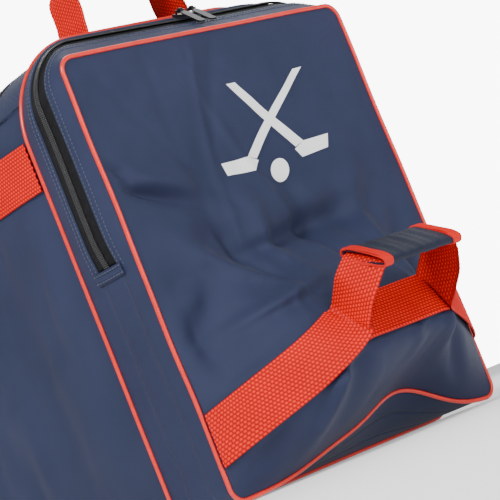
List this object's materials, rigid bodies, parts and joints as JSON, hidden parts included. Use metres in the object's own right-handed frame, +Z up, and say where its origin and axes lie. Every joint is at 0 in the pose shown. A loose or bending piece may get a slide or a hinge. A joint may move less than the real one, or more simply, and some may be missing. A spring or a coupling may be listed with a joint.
{
  "type": "kit bag",
  "caption": "Long soft kit bag with a zipped end pocket, a zipped lid, contrast piping and webbing grab handles.",
  "frame": {"origin": "centre of the base panel's underside, on the surface that the bag stands on", "axes": "+Y along the bag, away from the end pocket; +Z up; +X to the right of someone who faces the end pocket"},
  "size_m": [0.523, 1.1065, 0.5587],
  "materials": {
    "navy_fabric": "coated polyester twill, dull satin",
    "inner_fabric": "coated polyester, matt",
    "red_webbing": "coarse woven webbing",
    "red_piping": "smooth vinyl piping",
    "black_zip_tape": "woven zip tape with a coil",
    "black_zip_metal": "black enamelled die casting",
    "base_board": "stiff fibre board"
  },
  "bodies": {
    "bag_body": {"base_board": "base_board", "base_panel": "navy_fabric", "end_handle_webbing_left": "red_webbing", "end_handle_webbing_right": "red_webbing", "end_panel_rear": "navy_fabric", "end_wall_front": "inner_fabric", "main_zip_tape_body": "black_zip_tape", "piping_outer_front": "red_piping", "piping_outer_rear": "red_piping", "piping_pocket_lower": "red_piping", "pocket_gusset_lower": "navy_fabric", "pocket_gusset_rear": "navy_fabric", "pocket_panel_lower": "navy_fabric", "pocket_zip_tape_rear": "black_zip_tape", "rear_handle_webbing_left": "red_webbing", "rear_handle_webbing_right": "red_webbing", "side_handle_left_webbing_front": "red_webbing", "side_handle_left_webbing_rear": "red_webbing", "side_handle_right_webbing_front": "red_webbing", "side_handle_right_webbing_rear": "red_webbing", "side_panel_left": "navy_fabric", "side_panel_right": "navy_fabric", "top_handle_webbing_left": "red_webbing", "top_handle_webbing_right": "red_webbing", "top_strip_front": "navy_fabric", "top_strip_rear": "navy_fabric", "zip_end_hem_left": "navy_fabric", "zip_end_hem_right": "navy_fabric"},
    "pocket_flap": {"pocket_flap_panel": "navy_fabric", "pocket_flap_gusset": "navy_fabric", "pocket_zip_tape_front": "black_zip_tape", "piping_pocket_upper": "red_piping"},
    "lid": {"lid_panel": "navy_fabric", "main_zip_tape_lid": "black_zip_tape"},
    "pocket_slider_left": {"pocket_slider_left": "black_zip_metal"},
    "pocket_slider_right": {"pocket_slider_right": "black_zip_metal"},
    "main_slider_front": {"main_slider_front": "black_zip_metal"},
    "main_slider_rear": {"main_slider_rear": "black_zip_metal"},
    "pocket_pull_left": {"pocket_pull_left": "black_zip_metal"},
    "pocket_pull_right": {"pocket_pull_right": "black_zip_metal"},
    "main_pull_front": {"main_pull_front": "black_zip_metal"},
    "main_pull_rear": {"main_pull_rear": "black_zip_metal"},
    "end_handle_loop": {"end_handle_strap": "red_webbing", "end_handle_grip": "navy_fabric"},
    "top_handle_loop": {"top_handle_strap": "red_webbing", "top_handle_grip": "navy_fabric"},
    "side_handle_left_loop": {"side_handle_left_strap": "red_webbing", "side_handle_left_grip": "navy_fabric"},
    "side_handle_right_loop": {"side_handle_right_strap": "red_webbing", "side_handle_right_grip": "navy_fabric"},
    "rear_handle_loop": {"rear_handle_strap": "red_webbing", "rear_handle_grip": "navy_fabric"}
  },
  "joints": [
    {"name": "pocket_flap_fold", "type": "hinge", "parent": "bag_body", "child": "pocket_flap", "pos_m": [0, -0.48225, 0.25], "axis": [1, 0, 0], "range_deg": [0, 75]},
    {"name": "lid_fold", "type": "hinge", "parent": "bag_body", "child": "lid", "pos_m": [0.15322, 0, 0.47314], "axis": [0, 1, 0], "range_deg": [0, 120]},
    {"name": "pocket_slider_left_travel", "type": "slide", "parent": "pocket_flap", "child": "pocket_slider_left", "axis": [-1, 0, 0], "range_m": [0, 0.11]},
    {"name": "pocket_slider_right_travel", "type": "slide", "parent": "pocket_flap", "child": "pocket_slider_right", "axis": [1, 0, 0], "range_m": [0, 0.08]},
    {"name": "pocket_pull_left_lift", "type": "hinge", "parent": "pocket_slider_left", "child": "pocket_pull_left", "pos_m": [0.0142, -0.44311, 0.48353], "axis": [-1, 0, 0], "range_deg": [0, 75]},
    {"name": "pocket_pull_right_lift", "type": "hinge", "parent": "pocket_slider_right", "child": "pocket_pull_right", "pos_m": [0.0298, -0.44311, 0.48353], "axis": [-1, 0, 0], "range_deg": [0, 75]},
    {"name": "main_slider_front_travel", "type": "slide", "parent": "lid", "child": "main_slider_front", "axis": [0, -1, 0], "range_m": [0, 0.22]},
    {"name": "main_slider_rear_travel", "type": "slide", "parent": "lid", "child": "main_slider_rear", "axis": [0, 1, 0], "range_m": [0, 0.22]},
    {"name": "main_pull_front_lift", "type": "hinge", "parent": "main_slider_front", "child": "main_pull_front", "pos_m": [-0.18667, -0.0078, 0.44953], "axis": [0, 1, 0], "range_deg": [0, 100]},
    {"name": "main_pull_rear_lift", "type": "hinge", "parent": "main_slider_rear", "child": "main_pull_rear", "pos_m": [-0.18667, 0.0078, 0.44953], "axis": [0, 1, 0], "range_deg": [0, 100]},
    {"name": "end_handle_swing", "type": "hinge", "parent": "bag_body", "child": "end_handle_loop", "pos_m": [0.003, -0.59551, 0.13118], "axis": [1, 0, 0], "range_deg": [-40, 100]},
    {"name": "top_handle_swing", "type": "hinge", "parent": "bag_body", "child": "top_handle_loop", "pos_m": [0, -0.37215, 0.5185], "axis": [1, 0, 0], "range_deg": [-15, 50]},
    {"name": "side_handle_left_swing", "type": "hinge", "parent": "bag_body", "child": "side_handle_left_loop", "pos_m": [-0.2235, 0, 0.372], "axis": [0, 1, 0], "range_deg": [0, 140]},
    {"name": "side_handle_right_swing", "type": "hinge", "parent": "bag_body", "child": "side_handle_right_loop", "pos_m": [0.2235, 0, 0.372], "axis": [0, -1, 0], "range_deg": [0, 140]},
    {"name": "rear_handle_swing", "type": "hinge", "parent": "bag_body", "child": "rear_handle_loop", "pos_m": [0, 0.4285, 0.2], "axis": [1, 0, 0], "range_deg": [0, 140]}
  ]
}
